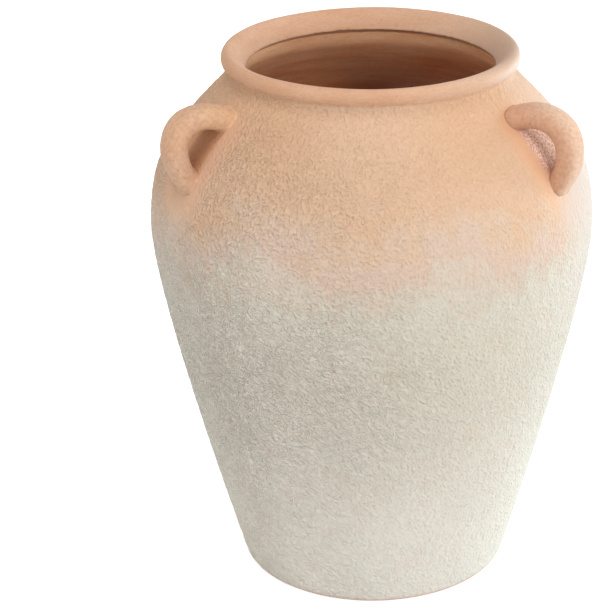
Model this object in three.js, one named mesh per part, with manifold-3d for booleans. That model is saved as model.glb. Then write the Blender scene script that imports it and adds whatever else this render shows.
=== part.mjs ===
// Terracotta vase: a wide-bellied jar with a rolled rim and three strap handles set
// round its shoulder. It is built as a potter builds a large jar: a turned base, two
// wall sections that meet at the belly, a rim ring on the neck, and pulled straps that
// are luted to the leather-hard shoulder.
//
// Millimetres, +Z up. The origin is the centre of the flat underside. -Y is the front,
// with a handle at either side of it, and the third handle is at the back.

import * as THREE from "three";
import { mergeVertices } from "three/addons/utils/BufferGeometryUtils.js";
import Module from "manifold-3d";

const degrees = Math.PI / 180;

// Whole jar
const height = 320; // underside to crest of the rim
const wall = 8; // thickness of the clay, square to the outline
const bellyRadius = 129.8; // widest radius
const bellyHeight = 215.7; // height of the widest place, where the two sections meet

// Base: a shallow dish with a flat floor and a turned-up edge
const footRadius = 80.9; // radius at the top of the rounded bottom edge
const footRounding = 3.2; // radius of that edge
const footLean = 16.1 * degrees; // lean of the wall out from upright
const floorThickness = 9;
const floorFillet = 14; // run of the sweep between floor and wall inside
const baseHeight = 22; // height of the seam on which the wall stands

// Fullness of the outline, as shares of the rise of each curve
const lowerStraightness = 0.34; // how long the lower wall keeps the foot's lean
const lowerFullness = 0.149; // how long the wall stays upright below the belly
const upperFullness = 0.47; // how long it stays upright above the belly
const shoulderStraightness = 0.538; // how long the shoulder keeps its slope to the neck

// Neck: a short hollow sweep between the shoulder and the rim
const neckRadius = 82.6; // narrowest outer radius
const neckFlare = 3.5; // how far the sweep spreads down to the shoulder
const neckLength = 5.8; // height of the sweep
const shoulderSlope = 45.6 * degrees; // fall of the shoulder where it meets the neck

// Rim: a ring with a rolled bead outside and a rounded slope down into the mouth
const rimHeight = 13.4; // seam on the neck to the crest
const beadOverhang = 3.3; // how far the bead stands out over the neck
const beadHalfWidth = 3.8;
const beadHalfHeight = 5.1;
const mouthInset = 11.3; // how far the inner edge stands in from the outside of the neck
const mouthDepth = 10.7; // crest down to the inner edge
const mouthEdgeRounding = 1.2;
const crestRoundness = 0.4; // share of the slope's run over which the crest stays level
const mouthRoundness = 0.45; // share of the slope's drop over which it turns steep

// Keyed joints: a ridge on the lower piece sits in a groove in the upper one
const keyWidth = 4; // across the foot of the ridge
const keyTopWidth = 1.8; // across its blunt top
const keyHeight = 2.5;
const keyClearance = 0.3; // room for slip round the ridge

// Strap handles
const handleCount = 3;
const firstHandleAngle = 60 * degrees; // from the front, towards +X
const strapWidth = 21.6; // along the shoulder
const upperThickness = 14.3; // square to the strap at its upper root
const lowerThickness = 13.4; // and at its lower root, where it is pulled thinner
const strapSquareness = 2.4; // power of the section's curve: 2 is an oval, more fills the corners
const upperRootDrop = 17.4; // neck seam down to the upper root
const strapDrop = 37; // upper root down to the lower root
const upperRootSink = 8.5; // how far the strap's axis is cut into the shoulder at each root
const lowerRootSink = 9.8;
const upperRise = 29.4 * degrees; // angle at which the strap leaves the upper root
const upperPull = 40.3; // how far it is pulled along that angle
const lowerRise = 44.5 * degrees;
const lowerPull = 34.1;
const lutingGap = 0.3; // layer of slip between the strap and the shoulder

// Facets
const samePoint = 0.01; // points of an outline nearer than this are one point
const weldDistance = 1e-5; // corners of a mesh nearer than this are one corner
const turnSteps = 60; // round the jar, shared by every turned piece so that facets line up
const strapSteps = 18; // along a strap
const strapSides = 20; // round a strap
const outsideSteps = { foot: 3, base: 1, lower: 9, upper: 11, neck: 3 }; // along each stretch
const insideSteps = { floor: 4, lower: 6, upper: 7, neck: 2 };
const rimSteps = { bead: 8, slope: 6, edge: 2 };
const halvings = 40; // in the search for the place of a height on a curve

const point = (radius, z) => new THREE.Vector2(radius, z);
const polar = (origin, angle, length) =>
  point(origin.x + length * Math.cos(angle), origin.y + length * Math.sin(angle));

// The outside of the jar from foot to neck, as three curves that run on into each other
const neckTop = height - rimHeight;
const mouthRadius = neckRadius - mouthInset;
const footArcCentre = point(footRadius - footRounding * Math.cos(footLean), footRounding);
const footEnd = polar(footArcCentre, -footLean, footRounding);
const belly = point(bellyRadius, bellyHeight);
const shoulderEnd = point(neckRadius + neckFlare, neckTop - neckLength);
const lowerRun = bellyHeight - footEnd.y;
const upperRun = shoulderEnd.y - bellyHeight;

const footArc = new THREE.EllipseCurve(
  footArcCentre.x, footArcCentre.y, footRounding, footRounding, -Math.PI / 2, -footLean);
const lowerCurve = new THREE.CubicBezierCurve(
  footEnd,
  polar(footEnd, Math.PI / 2 - footLean, lowerStraightness * lowerRun),
  point(bellyRadius, bellyHeight - lowerFullness * lowerRun),
  belly);
const upperCurve = new THREE.CubicBezierCurve(
  belly,
  point(bellyRadius, bellyHeight + upperFullness * upperRun),
  polar(shoulderEnd, -shoulderSlope, shoulderStraightness * upperRun),
  shoulderEnd);
const neckCurve = new THREE.QuadraticBezierCurve(
  shoulderEnd,
  point(neckRadius, shoulderEnd.y + neckFlare * Math.tan(shoulderSlope)),
  point(neckRadius, neckTop));

// A point beside a rising curve: depth is how far it lies inside the clay, square to it
function beside(curve, t, depth) {
  const at = curve.getPoint(t);
  const along = curve.getTangent(t);
  return point(at.x - depth * along.y, at.y + depth * along.x);
}

// Where a line beside a rising curve passes a height, found by halving
function shareAtHeight(curve, z, depth) {
  let low = 0;
  let high = 1;
  for (let i = 0; i < halvings; i++) {
    const middle = (low + high) / 2;
    if (beside(curve, middle, depth).y < z) {
      low = middle;
    } else {
      high = middle;
    }
  }
  return (low + high) / 2;
}

// Points beside a stretch of a curve, both ends included
function trace(curve, from, to, steps, depth = 0) {
  const points = [];
  for (let i = 0; i <= steps; i++) {
    points.push(beside(curve, from + (to - from) * i / steps, depth));
  }
  return points;
}

const outerRadiusAt = (z) => {
  const curve = z < bellyHeight ? lowerCurve : upperCurve;
  return curve.getPoint(shareAtHeight(curve, z, 0)).x;
};

// A keyed joint across the wall at one height: the ridge of the lower piece, or the same
// ridge grown by the clearance as the groove of the upper one. Points run from the
// outside of the wall to the inside.
function key(z, outerRadius, innerRadius, clearance = 0) {
  const middle = (outerRadius + innerRadius) / 2;
  const foot = keyWidth / 2 + clearance;
  const top = keyTopWidth / 2 + clearance;
  const rise = z + keyHeight + clearance;
  return [
    point(outerRadius, z),
    point(middle + foot, z),
    point(middle + top, rise),
    point(middle - top, rise),
    point(middle - foot, z),
    point(innerRadius, z),
  ];
}

// A solid of revolution about +Z. The profile goes up the outside and down the inside;
// one that doesn't start and end on the axis is closed on itself.
function turned(profile) {
  const points = profile.filter((p, i) => i === 0 || p.distanceTo(profile[i - 1]) > samePoint);
  if (points[0].x > 0) {
    points.push(points[0].clone());
  }
  return new THREE.LatheGeometry(points, turnSteps).rotateX(Math.PI / 2);
}

const baseShare = shareAtHeight(lowerCurve, baseHeight, 0);
const baseInnerShare = shareAtHeight(lowerCurve, baseHeight, wall);
const baseOuter = lowerCurve.getPoint(baseShare).x;
const baseInner = beside(lowerCurve, baseInnerShare, wall).x;
const bellyInner = bellyRadius - wall;
const neckInner = neckRadius - wall;

function baseGeometry() {
  const corner = point(baseInner - (baseHeight - floorThickness) * Math.tan(footLean), floorThickness);
  const sweep = new THREE.QuadraticBezierCurve(
    point(baseInner, baseHeight), corner, point(corner.x - floorFillet, floorThickness));
  return turned([
    point(0, 0),
    ...footArc.getPoints(outsideSteps.foot),
    ...trace(lowerCurve, 0, baseShare, outsideSteps.base),
    ...key(baseHeight, baseOuter, baseInner),
    ...sweep.getPoints(insideSteps.floor),
    point(0, floorThickness),
  ]);
}

function lowerWallGeometry() {
  return turned([
    ...trace(lowerCurve, baseShare, 1, outsideSteps.lower),
    ...key(bellyHeight, bellyRadius, bellyInner),
    ...trace(lowerCurve, 1, baseInnerShare, insideSteps.lower, wall).slice(1, -1),
    ...key(baseHeight, baseOuter, baseInner, keyClearance).reverse(),
  ]);
}

function shoulderWallGeometry() {
  return turned([
    ...trace(upperCurve, 0, 1, outsideSteps.upper),
    ...trace(neckCurve, 0, 1, outsideSteps.neck),
    ...key(neckTop, neckRadius, neckInner),
    ...trace(neckCurve, 1, 0, insideSteps.neck, wall).slice(1),
    ...trace(upperCurve, 1, 0, insideSteps.upper, wall).slice(1, -1),
    ...key(bellyHeight, bellyRadius, bellyInner, keyClearance).reverse(),
  ]);
}

function rimGeometry() {
  const beadCentre = point(neckRadius + beadOverhang - beadHalfWidth, height - beadHalfHeight);
  const creaseAngle = -Math.acos((neckRadius - beadCentre.x) / beadHalfWidth);
  const bead = new THREE.EllipseCurve(
    beadCentre.x, beadCentre.y, beadHalfWidth, beadHalfHeight, creaseAngle, Math.PI / 2);
  const crest = point(beadCentre.x, height);
  const mouthEdge = point(mouthRadius, height - mouthDepth);
  const run = crest.x - mouthRadius;
  const slope = new THREE.CubicBezierCurve(
    crest,
    point(crest.x - crestRoundness * run, height),
    point(mouthRadius + crestRoundness * run / 2, mouthEdge.y + mouthRoundness * mouthDepth),
    mouthEdge);
  const edge = new THREE.EllipseCurve(
    mouthRadius + mouthEdgeRounding, mouthEdge.y, mouthEdgeRounding, mouthEdgeRounding,
    Math.PI, 1.5 * Math.PI);
  return turned([
    point(neckRadius, neckTop),
    ...bead.getPoints(rimSteps.bead),
    ...slope.getPoints(rimSteps.slope),
    ...edge.getPoints(rimSteps.edge),
    ...key(neckTop, neckRadius, neckInner, keyClearance).reverse(),
  ]);
}

// Skin over a row of equal rings of points, closed at both ends by fans
function loft(rings) {
  const sides = rings[0].length;
  const last = rings.length - 1;
  const middleOf = (ring) =>
    ring.reduce((sum, p) => sum.add(p), new THREE.Vector3()).divideScalar(sides);
  const points = [...rings.flat(), middleOf(rings[0]), middleOf(rings[last])];
  const startMiddle = rings.length * sides;
  const faces = [];
  for (let k = 0; k < sides; k++) {
    const next = (k + 1) % sides;
    for (let i = 0; i < last; i++) {
      const a = i * sides + k;
      const b = i * sides + next;
      faces.push(a, b, b + sides, a, b + sides, a + sides);
    }
    faces.push(startMiddle, next, k, startMiddle + 1, last * sides + k, last * sides + next);
  }
  const geometry = new THREE.BufferGeometry().setFromPoints(points);
  geometry.setIndex(faces);
  return geometry;
}

// The strap's axis in the radial plane: out of the shoulder below the neck, over in an
// arch, and down into the shoulder again
function strapAxis() {
  const upperZ = neckTop - upperRootDrop;
  const lowerZ = upperZ - strapDrop;
  const upperRoot = point(outerRadiusAt(upperZ) - upperRootSink, upperZ);
  const lowerRoot = point(outerRadiusAt(lowerZ) - lowerRootSink, lowerZ);
  return new THREE.CubicBezierCurve(
    upperRoot,
    polar(upperRoot, upperRise, upperPull),
    polar(lowerRoot, lowerRise, lowerPull),
    lowerRoot);
}

// A cosine or sine brought nearer to 1 by the squareness, which turns a circle into a
// square with well rounded corners
const squared = (value) => Math.sign(value) * Math.abs(value) ** (2 / strapSquareness);

// A flattened strap along that axis at the front of the jar, thinner towards its lower root
function strapGeometry() {
  const axis = strapAxis();
  const rings = [];
  for (let i = 0; i <= strapSteps; i++) {
    const t = i / strapSteps;
    const thickness = upperThickness + (lowerThickness - upperThickness) * t;
    const ring = [];
    for (let k = 0; k < strapSides; k++) {
      const angle = 2 * Math.PI * (k + 0.5) / strapSides;
      const aside = strapWidth / 2 * squared(Math.cos(angle));
      const inPlane = beside(axis, t, thickness / 2 * squared(Math.sin(angle)));
      ring.push(new THREE.Vector3(aside, -inPlane.x, inPlane.y));
    }
    rings.push(ring);
  }
  return loft(rings);
}

// The room that the shoulder and its layer of slip take, as a thick ring
function shoulderRoomGeometry() {
  const core = neckInner / 2;
  const above = point(neckRadius - lutingGap, height);
  return turned([
    point(core, baseHeight),
    ...trace(lowerCurve, baseShare, 1, outsideSteps.lower, -lutingGap),
    ...trace(upperCurve, 0, 1, outsideSteps.upper, -lutingGap),
    above,
    point(core, height),
  ]);
}

const manifold = await Module();
manifold.setup();

function solidOf(geometry) {
  const bare = geometry.clone();
  bare.deleteAttribute("normal");
  bare.deleteAttribute("uv");
  const merged = mergeVertices(bare, weldDistance);
  return new manifold.Manifold(new manifold.Mesh({
    numProp: 3,
    vertProperties: new Float32Array(merged.attributes.position.array),
    triVerts: new Uint32Array(merged.index.array),
  }));
}

function geometryOf(solid) {
  const mesh = solid.getMesh();
  const geometry = new THREE.BufferGeometry();
  geometry.setAttribute("position", new THREE.BufferAttribute(new Float32Array(mesh.vertProperties), 3));
  geometry.setIndex(new THREE.BufferAttribute(new Uint32Array(mesh.triVerts), 1));
  geometry.computeVertexNormals();
  return geometry;
}

// A handle is the strap without what the shoulder takes up, which leaves a saddle at each
// root that follows both curves of the shoulder
const handleGeometry = geometryOf(solidOf(strapGeometry()).subtract(solidOf(shoulderRoomGeometry())));

// Finishes: bare terracotta on the rim and handles, and a coarse slip coat on the body
// that fades from terracotta on the shoulder to chalky white below
const bareTerracotta = { color: "#dcae8b", roughness: 0.85, metalness: 0 };
const shoulderSlip = { color: "#e0b898", roughness: 0.95, metalness: 0 };
const chalkSlip = { color: "#dad0c4", roughness: 0.95, metalness: 0 };

function piece(name, geometry, finish) {
  const mesh = new THREE.Mesh(geometry, new THREE.MeshStandardMaterial(finish));
  mesh.name = name;
  return mesh;
}

const vase = new THREE.Group();
vase.add(
  piece("base", baseGeometry(), chalkSlip),
  piece("lower_wall", lowerWallGeometry(), chalkSlip),
  piece("shoulder_wall", shoulderWallGeometry(), shoulderSlip),
  piece("rim_ring", rimGeometry(), bareTerracotta),
);

const handleNames = ["handle_front_right", "handle_back", "handle_front_left"];
for (let i = 0; i < handleCount; i++) {
  const handle = piece(handleNames[i], handleGeometry, bareTerracotta);
  handle.rotation.z = firstHandleAngle + 2 * Math.PI * i / handleCount;
  vase.add(handle);
}

export default vase;
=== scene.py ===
# %% [markdown]
# # A terracotta vase with a coarse slip coat
# The vase is a wide-bellied jar with a rolled rim and three strap handles. The packed
# model gives its construction at the real size. This scene gives each piece the surface
# that a potter's hands and a brush full of slip leave on it, and then the finishes.

# %% Load the frame
import math
import bpy
import numpy as np
from mathutils import Matrix, Vector


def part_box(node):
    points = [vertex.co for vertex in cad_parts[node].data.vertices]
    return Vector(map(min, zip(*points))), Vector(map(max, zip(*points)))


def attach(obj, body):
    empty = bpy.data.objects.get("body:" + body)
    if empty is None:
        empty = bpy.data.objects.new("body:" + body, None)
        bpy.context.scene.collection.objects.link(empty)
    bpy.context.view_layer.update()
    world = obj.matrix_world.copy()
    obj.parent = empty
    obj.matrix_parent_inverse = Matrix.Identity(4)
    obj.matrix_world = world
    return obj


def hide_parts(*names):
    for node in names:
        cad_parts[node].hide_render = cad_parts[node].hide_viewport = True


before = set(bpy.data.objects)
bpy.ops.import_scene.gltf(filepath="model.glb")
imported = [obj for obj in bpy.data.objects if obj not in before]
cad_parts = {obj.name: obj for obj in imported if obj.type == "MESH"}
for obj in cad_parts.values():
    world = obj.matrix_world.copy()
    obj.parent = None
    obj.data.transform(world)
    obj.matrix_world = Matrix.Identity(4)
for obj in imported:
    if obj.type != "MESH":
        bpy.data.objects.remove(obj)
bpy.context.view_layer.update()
print("nodes:", sorted(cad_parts))

# %% [markdown]
# ## Sizes
# Blender works in metres and a potter in millimetres, so one constant turns one into the
# other. What the frame knows, such as the height and the radius of the belly, is read
# from it. The curves of the outline are written here once, in the same real sizes as the
# solids have, and every piece below takes its place from them.

# %% Driving sizes
MM = 0.001
LOWEST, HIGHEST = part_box("lower_wall"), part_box("shoulder_wall")
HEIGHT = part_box("rim_ring")[1].z
BELLY_RADIUS = LOWEST[1].x
BELLY_HEIGHT = HIGHEST[0].z
BASE_HEIGHT = LOWEST[0].z
NECK_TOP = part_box("rim_ring")[0].z
WALL = 8 * MM
FOOT_RADIUS = 80.9 * MM
FOOT_ROUNDING = 3.2 * MM
FOOT_LEAN = math.radians(16.1)
FLOOR_THICKNESS = 9 * MM
FLOOR_FILLET = 14 * MM
NECK_RADIUS = 82.6 * MM
NECK_FLARE = 3.5 * MM
NECK_LENGTH = 5.8 * MM
SHOULDER_SLOPE = math.radians(45.6)
TURN_STEPS = 660  # columns round the jar, shared by all turned pieces so that seams meet
print("height", round(HEIGHT / MM, 1), "mm, belly", round(BELLY_RADIUS / MM, 1), "mm")

# %% [markdown]
# ## The outline
# The outside of a thrown jar is one smooth line. It could be drawn with a spline through
# many points, but four simple curves are closer to how it is shaped: the rounded foot,
# the pulled-up lower wall, the shoulder, and the short hollow of the neck. They are
# sampled finely and joined into one table, which any piece can ask for the point, the
# normal and the height at a distance along the wall.

# %% Outline curves
def bezier(points, shares):
    """Bezier curve: each step of de Casteljau's rule mixes neighbouring points by the share."""
    rows = [np.outer(np.ones_like(shares), p) for p in points]
    t = shares[:, None]
    while len(rows) > 1:
        rows = [(1 - t) * a + t * b for a, b in zip(rows, rows[1:])]
    return rows[0]


def arc(centre, half_width, half_height, start, end, steps):
    """Ellipse arc: centre plus (half width x cosine, half height x sine) of the angle."""
    angle = np.linspace(start, end, steps)
    return np.stack([centre[0] + half_width * np.cos(angle),
                     centre[1] + half_height * np.sin(angle)], axis=1)


def polar(origin, angle, length):
    return np.array(origin) + length * np.array([math.cos(angle), math.sin(angle)])


def outline_table(step):
    """Joins the curves from foot to neck and resamples them at equal distances."""
    fine = np.linspace(0, 1, 800)
    centre = (FOOT_RADIUS - FOOT_ROUNDING * math.cos(FOOT_LEAN), FOOT_ROUNDING)
    foot_end = polar(centre, -FOOT_LEAN, FOOT_ROUNDING)
    shoulder_end = np.array([NECK_RADIUS + NECK_FLARE, NECK_TOP - NECK_LENGTH])
    lower_run = BELLY_HEIGHT - foot_end[1]
    upper_run = shoulder_end[1] - BELLY_HEIGHT
    belly = (BELLY_RADIUS, BELLY_HEIGHT)
    parts = [
        arc(centre, FOOT_ROUNDING, FOOT_ROUNDING, -math.pi / 2, -FOOT_LEAN, 60),
        bezier([foot_end, polar(foot_end, math.pi / 2 - FOOT_LEAN, 0.34 * lower_run),
                (BELLY_RADIUS, BELLY_HEIGHT - 0.149 * lower_run), belly], fine),
        bezier([belly, (BELLY_RADIUS, BELLY_HEIGHT + 0.47 * upper_run),
                polar(shoulder_end, -SHOULDER_SLOPE, 0.538 * upper_run), shoulder_end], fine),
        bezier([shoulder_end,
                (NECK_RADIUS, shoulder_end[1] + NECK_FLARE * math.tan(SHOULDER_SLOPE)),
                (NECK_RADIUS, NECK_TOP)], fine),
    ]
    line = np.concatenate([parts[0]] + [p[1:] for p in parts[1:]])
    run = np.concatenate([[0], np.cumsum(np.linalg.norm(np.diff(line, axis=0), axis=1))])
    even = np.linspace(0, run[-1], int(run[-1] / step))
    return np.stack([np.interp(even, run, line[:, k]) for k in (0, 1)], axis=1)


OUTLINE = outline_table(0.1 * MM)
SLOPES = np.gradient(OUTLINE, axis=0)
SLOPES /= np.linalg.norm(SLOPES, axis=1)[:, None]
print("outline points:", len(OUTLINE))


def outer_radius(z):
    """Radius of the outside at a height, read from the outline."""
    return np.interp(z, OUTLINE[:, 1], OUTLINE[:, 0])


def wall_line(low, high, steps, depth=0.0):
    """Points beside the outline between two heights, moved square to it into the clay."""
    line = OUTLINE + depth * np.stack([-SLOPES[:, 1], SLOPES[:, 0]], axis=1)
    start, end = np.interp([low, high], line[:, 1], np.arange(len(line)))
    rows = np.linspace(start, end, steps)
    return np.stack([np.interp(rows, np.arange(len(line)), line[:, k]) for k in (0, 1)], axis=1)


# %% [markdown]
# ## Noise
# Slip that is dabbed on with a stiff brush dries to small ridges and lumps with no
# repeat. Blender's noise texture could displace the mesh, but here the noise is worked
# out as numbers, which push the points of the grid. It is gradient noise:
# each corner of a cubic lattice holds a random direction, and a point mixes the eight
# slopes around it. It reads real positions, so it runs on over every seam.

# %% Gradient noise in three dimensions
def gradient_noise(points, wavelength, seed):
    """Smooth noise from about -1 to 1: the eight lattice slopes round each point, mixed
    by the curve 6t^5 - 15t^4 + 10t^3 of its place in the cell."""
    rng = np.random.default_rng(seed)
    order = rng.permutation(256)
    directions = rng.normal(size=(256, 3))
    directions /= np.linalg.norm(directions, axis=1)[:, None]
    place = points / wavelength + rng.uniform(0, 50, 3)
    cell = np.floor(place).astype(int)
    inside = place - cell
    fade = inside ** 3 * (inside * (inside * 6 - 15) + 10)
    total = np.zeros(len(points))
    for corner in np.ndindex(2, 2, 2):
        step = np.array(corner)
        x, y, z = (cell + step).T
        pick = order[(order[(order[x & 255] + y) & 255] + z) & 255]
        share = np.prod(np.where(step, fade, 1 - fade), axis=1)
        total += share * np.sum(directions[pick] * (inside - step), axis=1)
    return 1.7 * total


# %% [markdown]
# ## Slip relief
# Close up, the coat is a field of grains and short ridges a few millimetres across and
# about half a millimetre high, over soft lumps as wide as a fingertip. Plain noise gives
# the grains. Folded noise gives the ridges: where plain noise crosses zero, one minus its
# size comes to a crest. Warping the positions first makes them wander, and squeezing
# them in height draws them out into the upright strokes of the brush. Strokes finer than
# the grid can carry are left to the bump of the material.

# %% Relief of the slip coat
RIDGE_SPACING, GRAIN_SPACING = 4.2 * MM, 2.6 * MM
RIDGE_HEIGHT = 0.42 * MM
LUMP_WIDTH, LUMP_HEIGHT = 9 * MM, 0.13 * MM
PATCH_WIDTH = 26 * MM  # over this distance the coat turns from rough to smooth and back
WANDER = 0.9 * MM
BRUSH_STRETCH = np.array([1, 1, 0.75])  # heights count less, so strokes stand upright
THICK_BELOW = (215 * MM, 235 * MM)  # the chalk is laid on thicker under this band
THICKNESS_BELOW = 1.5


def smooth_step(value, low, high):
    """0 below low, 1 above high, and t squared times (3 - 2t) between."""
    t = np.clip((value - low) / (high - low), 0, 1)
    return t * t * (3 - 2 * t)


def slip_relief(points):
    """Depth below the outline in metres, never above it: grains, crests of folded noise and
    lumps, less three quarters of the height of a ridge."""
    drift = np.stack([gradient_noise(points, LUMP_WIDTH, seed) for seed in (11, 12, 13)], axis=1)
    place = (points + WANDER * drift) * BRUSH_STRETCH
    ridges = 1 - 2.2 * np.abs(gradient_noise(place, RIDGE_SPACING, 21))
    grains = gradient_noise(place, GRAIN_SPACING, 22)
    patches = 0.5 + 0.5 * gradient_noise(points, PATCH_WIDTH, 24)
    lumps = gradient_noise(points, LUMP_WIDTH, 23)
    texture = (0.3 * ridges + 0.95 * grains) * (0.55 + 0.6 * patches)
    thick = THICKNESS_BELOW - (THICKNESS_BELOW - 1) * smooth_step(points[:, 2], *THICK_BELOW)
    height = thick * (RIDGE_HEIGHT * texture + LUMP_HEIGHT * lumps)
    return np.minimum(height - 0.75 * RIDGE_HEIGHT, 0)


probe = slip_relief(np.random.default_rng(1).uniform(-0.1, 0.1, (4000, 3)))
print("relief from", round(probe.min() / MM, 2), "to", round(probe.max() / MM, 2), "mm")

# %% [markdown]
# ## Where the handles sit
# Each strap is pulled from a lump of clay, bent into an arch and pressed on at both
# ends. Its axis is a curve in the upright plane through the middle of the jar. The
# potter then wipes the slip round the roots with a wet finger, so the coat is thinner
# there, and the walls need to know these places too.

# %% Strap axis and roots
HANDLES = {"handle_front_right": 60, "handle_back": 180, "handle_front_left": 300}
STRAP_WIDTH = 21.6 * MM
UPPER_THICKNESS, LOWER_THICKNESS = 14.3 * MM, 13.4 * MM
STRAP_SQUARENESS = 2.4  # 2 is an ellipse, more is squarer
WIPED_NEAR, WIPED_FAR = 13 * MM, 26 * MM
BARE_AHEAD, BARE_BEHIND = 7 * MM, 18 * MM
UPPER_ROOT_HEIGHT = NECK_TOP - 17.4 * MM
LOWER_ROOT_HEIGHT = UPPER_ROOT_HEIGHT - 37 * MM
upper_root = (outer_radius(UPPER_ROOT_HEIGHT) - 8.5 * MM, UPPER_ROOT_HEIGHT)


def strap_axis(shares, drop):
    """Axis of a strap in the plane of radius and height, its lower root let down by a drop."""
    height = LOWER_ROOT_HEIGHT - drop
    lower_root = (outer_radius(height) - 9.8 * MM, height)
    return bezier([upper_root, polar(upper_root, math.radians(29.4), 40.3 * MM),
                   polar(lower_root, math.radians(44.5), 34.1 * MM), lower_root], shares)


def around(radius, z, angle):
    """Point at a radius, a height and an angle from the front towards +X."""
    return np.stack([radius * np.sin(angle), -radius * np.cos(angle), z + 0 * angle], axis=-1)


def wiped(points):
    """1 at the foot of a strap, fading to 0 within a finger's width of it."""
    near = np.full(len(points), 1.0)
    for degrees in HANDLES.values():
        for z in np.linspace(UPPER_ROOT_HEIGHT - 3 * MM, LOWER_ROOT_HEIGHT + 5 * MM, 4):
            root = around(outer_radius(z), z, np.radians(degrees))
            distance = np.linalg.norm(points - root, axis=1)
            near = np.minimum(near, smooth_step(distance, WIPED_NEAR, WIPED_FAR))
    return 1 - near


def bare_and_shaded_under_strap(points):
    """1 on the wall under each strap, where no brush reaches and the strap's shade falls, 0 a
    few millimetres outside: bare clay and painted shade. The patch is wider on the side
    away from the front, where more of the shade behind the strap shows."""
    bare_and_shade = np.zeros(len(points))
    for degrees in HANDLES.values():
        turn = np.radians(degrees)
        side = points[:, 0] * np.cos(turn) + points[:, 1] * np.sin(turn)
        ahead = points[:, 0] * np.sin(turn) - points[:, 1] * np.cos(turn)
        behind = np.sign(np.sin(turn)) * side > 0
        reach = np.where(behind, BARE_BEHIND, BARE_AHEAD)
        across = 1 - smooth_step(np.abs(side), reach, reach + 3 * MM)
        upright = smooth_step(points[:, 2], LOWER_ROOT_HEIGHT + 2 * MM, LOWER_ROOT_HEIGHT + 7 * MM)
        upright *= 1 - smooth_step(points[:, 2], UPPER_ROOT_HEIGHT - 4 * MM, UPPER_ROOT_HEIGHT)
        bare_and_shade = np.maximum(bare_and_shade, across * upright * (ahead > 0))
    return bare_and_shade


# %% [markdown]
# ## Turned pieces
# The base, the two wall sections and the rim are all solids of revolution: a closed
# profile carried round the axis. A lathe modifier could do it, but a grid of height by
# angle can also be pushed in and out at every point, which is how the slip gets its
# relief. Corners of the profile, where one piece meets the next, stay sharp, so that the
# light does not bend round them.

# %% Grid to mesh
def add_mesh(name, points, faces, slots, sharp_pairs=None, values=None):
    """Puts points and faces into a new object, smooth, with a material index for each face."""
    mesh = bpy.data.meshes.new(name)
    mesh.from_pydata(points.tolist(), [], faces)
    mesh.polygons.foreach_set("use_smooth", np.ones(len(mesh.polygons), bool))
    mesh.polygons.foreach_set("material_index", np.asarray(slots, np.int32))
    for label, field in (values or {}).items():
        kept = mesh.attributes.new(label, "FLOAT", "POINT")
        kept.data.foreach_set("value", field.astype(np.float32))
    if sharp_pairs is not None:
        edges = np.empty(len(mesh.edges) * 2, np.int32)
        mesh.edges.foreach_get("vertices", edges)
        sharp = sharp_pairs(edges.reshape(-1, 2))
        mesh.attributes.new("sharp_edge", "BOOLEAN", "EDGE").data.foreach_set("value", sharp)
    mesh.update()
    piece = bpy.data.objects.new(name, mesh)
    bpy.context.scene.collection.objects.link(piece)
    return piece


def ring_faces(rows, row_count, columns):
    """Squares between each of the given rows and the next one, closed round the axis."""
    i, j = np.meshgrid(rows, np.arange(columns), indexing="ij")
    after_i, after_j = (i + 1) % row_count, (j + 1) % columns
    quads = np.stack([i * columns + j, i * columns + after_j,
                      after_i * columns + after_j, after_i * columns + j], axis=-1)
    return quads.reshape(-1, 4).tolist()


def pole_faces(columns, last_ring, start, end):
    """Fans of triangles that close a tube at both ends, each fan round its pole."""
    j = np.arange(columns)
    after = (j + 1) % columns
    first = np.stack([np.full(columns, start), after, j], axis=1)
    last = np.stack([np.full(columns, end), last_ring + j, last_ring + after], axis=1)
    return first.tolist() + last.tolist()


# %% Profiles
def join_profile(stretches, closed):
    """Joins the stretches into one table of points, with the push and the material index of
    each row and the rows at which the stretches meet."""
    rows, pushes, slots, corners = [], [], [], []
    for line, push, slot in stretches:
        corners.append(len(rows))
        rows.extend(line[:-1])
        pushes.extend([push] * (len(line) - 1))
        slots.extend([slot] * (len(line) - 1))
    if not closed:
        rows.append(stretches[-1][0][-1])
        pushes.append(None)
    return np.array(rows), pushes, slots, corners


def profile_normals(stretches, profile, pushes, corners, closed):
    """Normals of the profile, square to the line between both neighbours. A corner takes
    the direction of the stretch after it, unless only the stretch before it is pushed:
    then it is pushed too and takes that one's direction, so that no gap opens there."""
    if closed:
        along = np.roll(profile, -1, axis=0) - np.roll(profile, 1, axis=0)
    else:
        along = np.gradient(profile, axis=0)
    for k, corner in enumerate(corners):
        along[corner] = profile[(corner + 1) % len(profile)] - profile[corner]
        if stretches[k][1] is None and stretches[k - 1][1] is not None:
            pushes[corner] = stretches[k - 1][1]
            along[corner] = profile[corner] - profile[corner - 1]
    along /= np.maximum(np.linalg.norm(along, axis=1), 1e-9)[:, None]
    return np.stack([along[:, 1], -along[:, 0]], axis=1)


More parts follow.
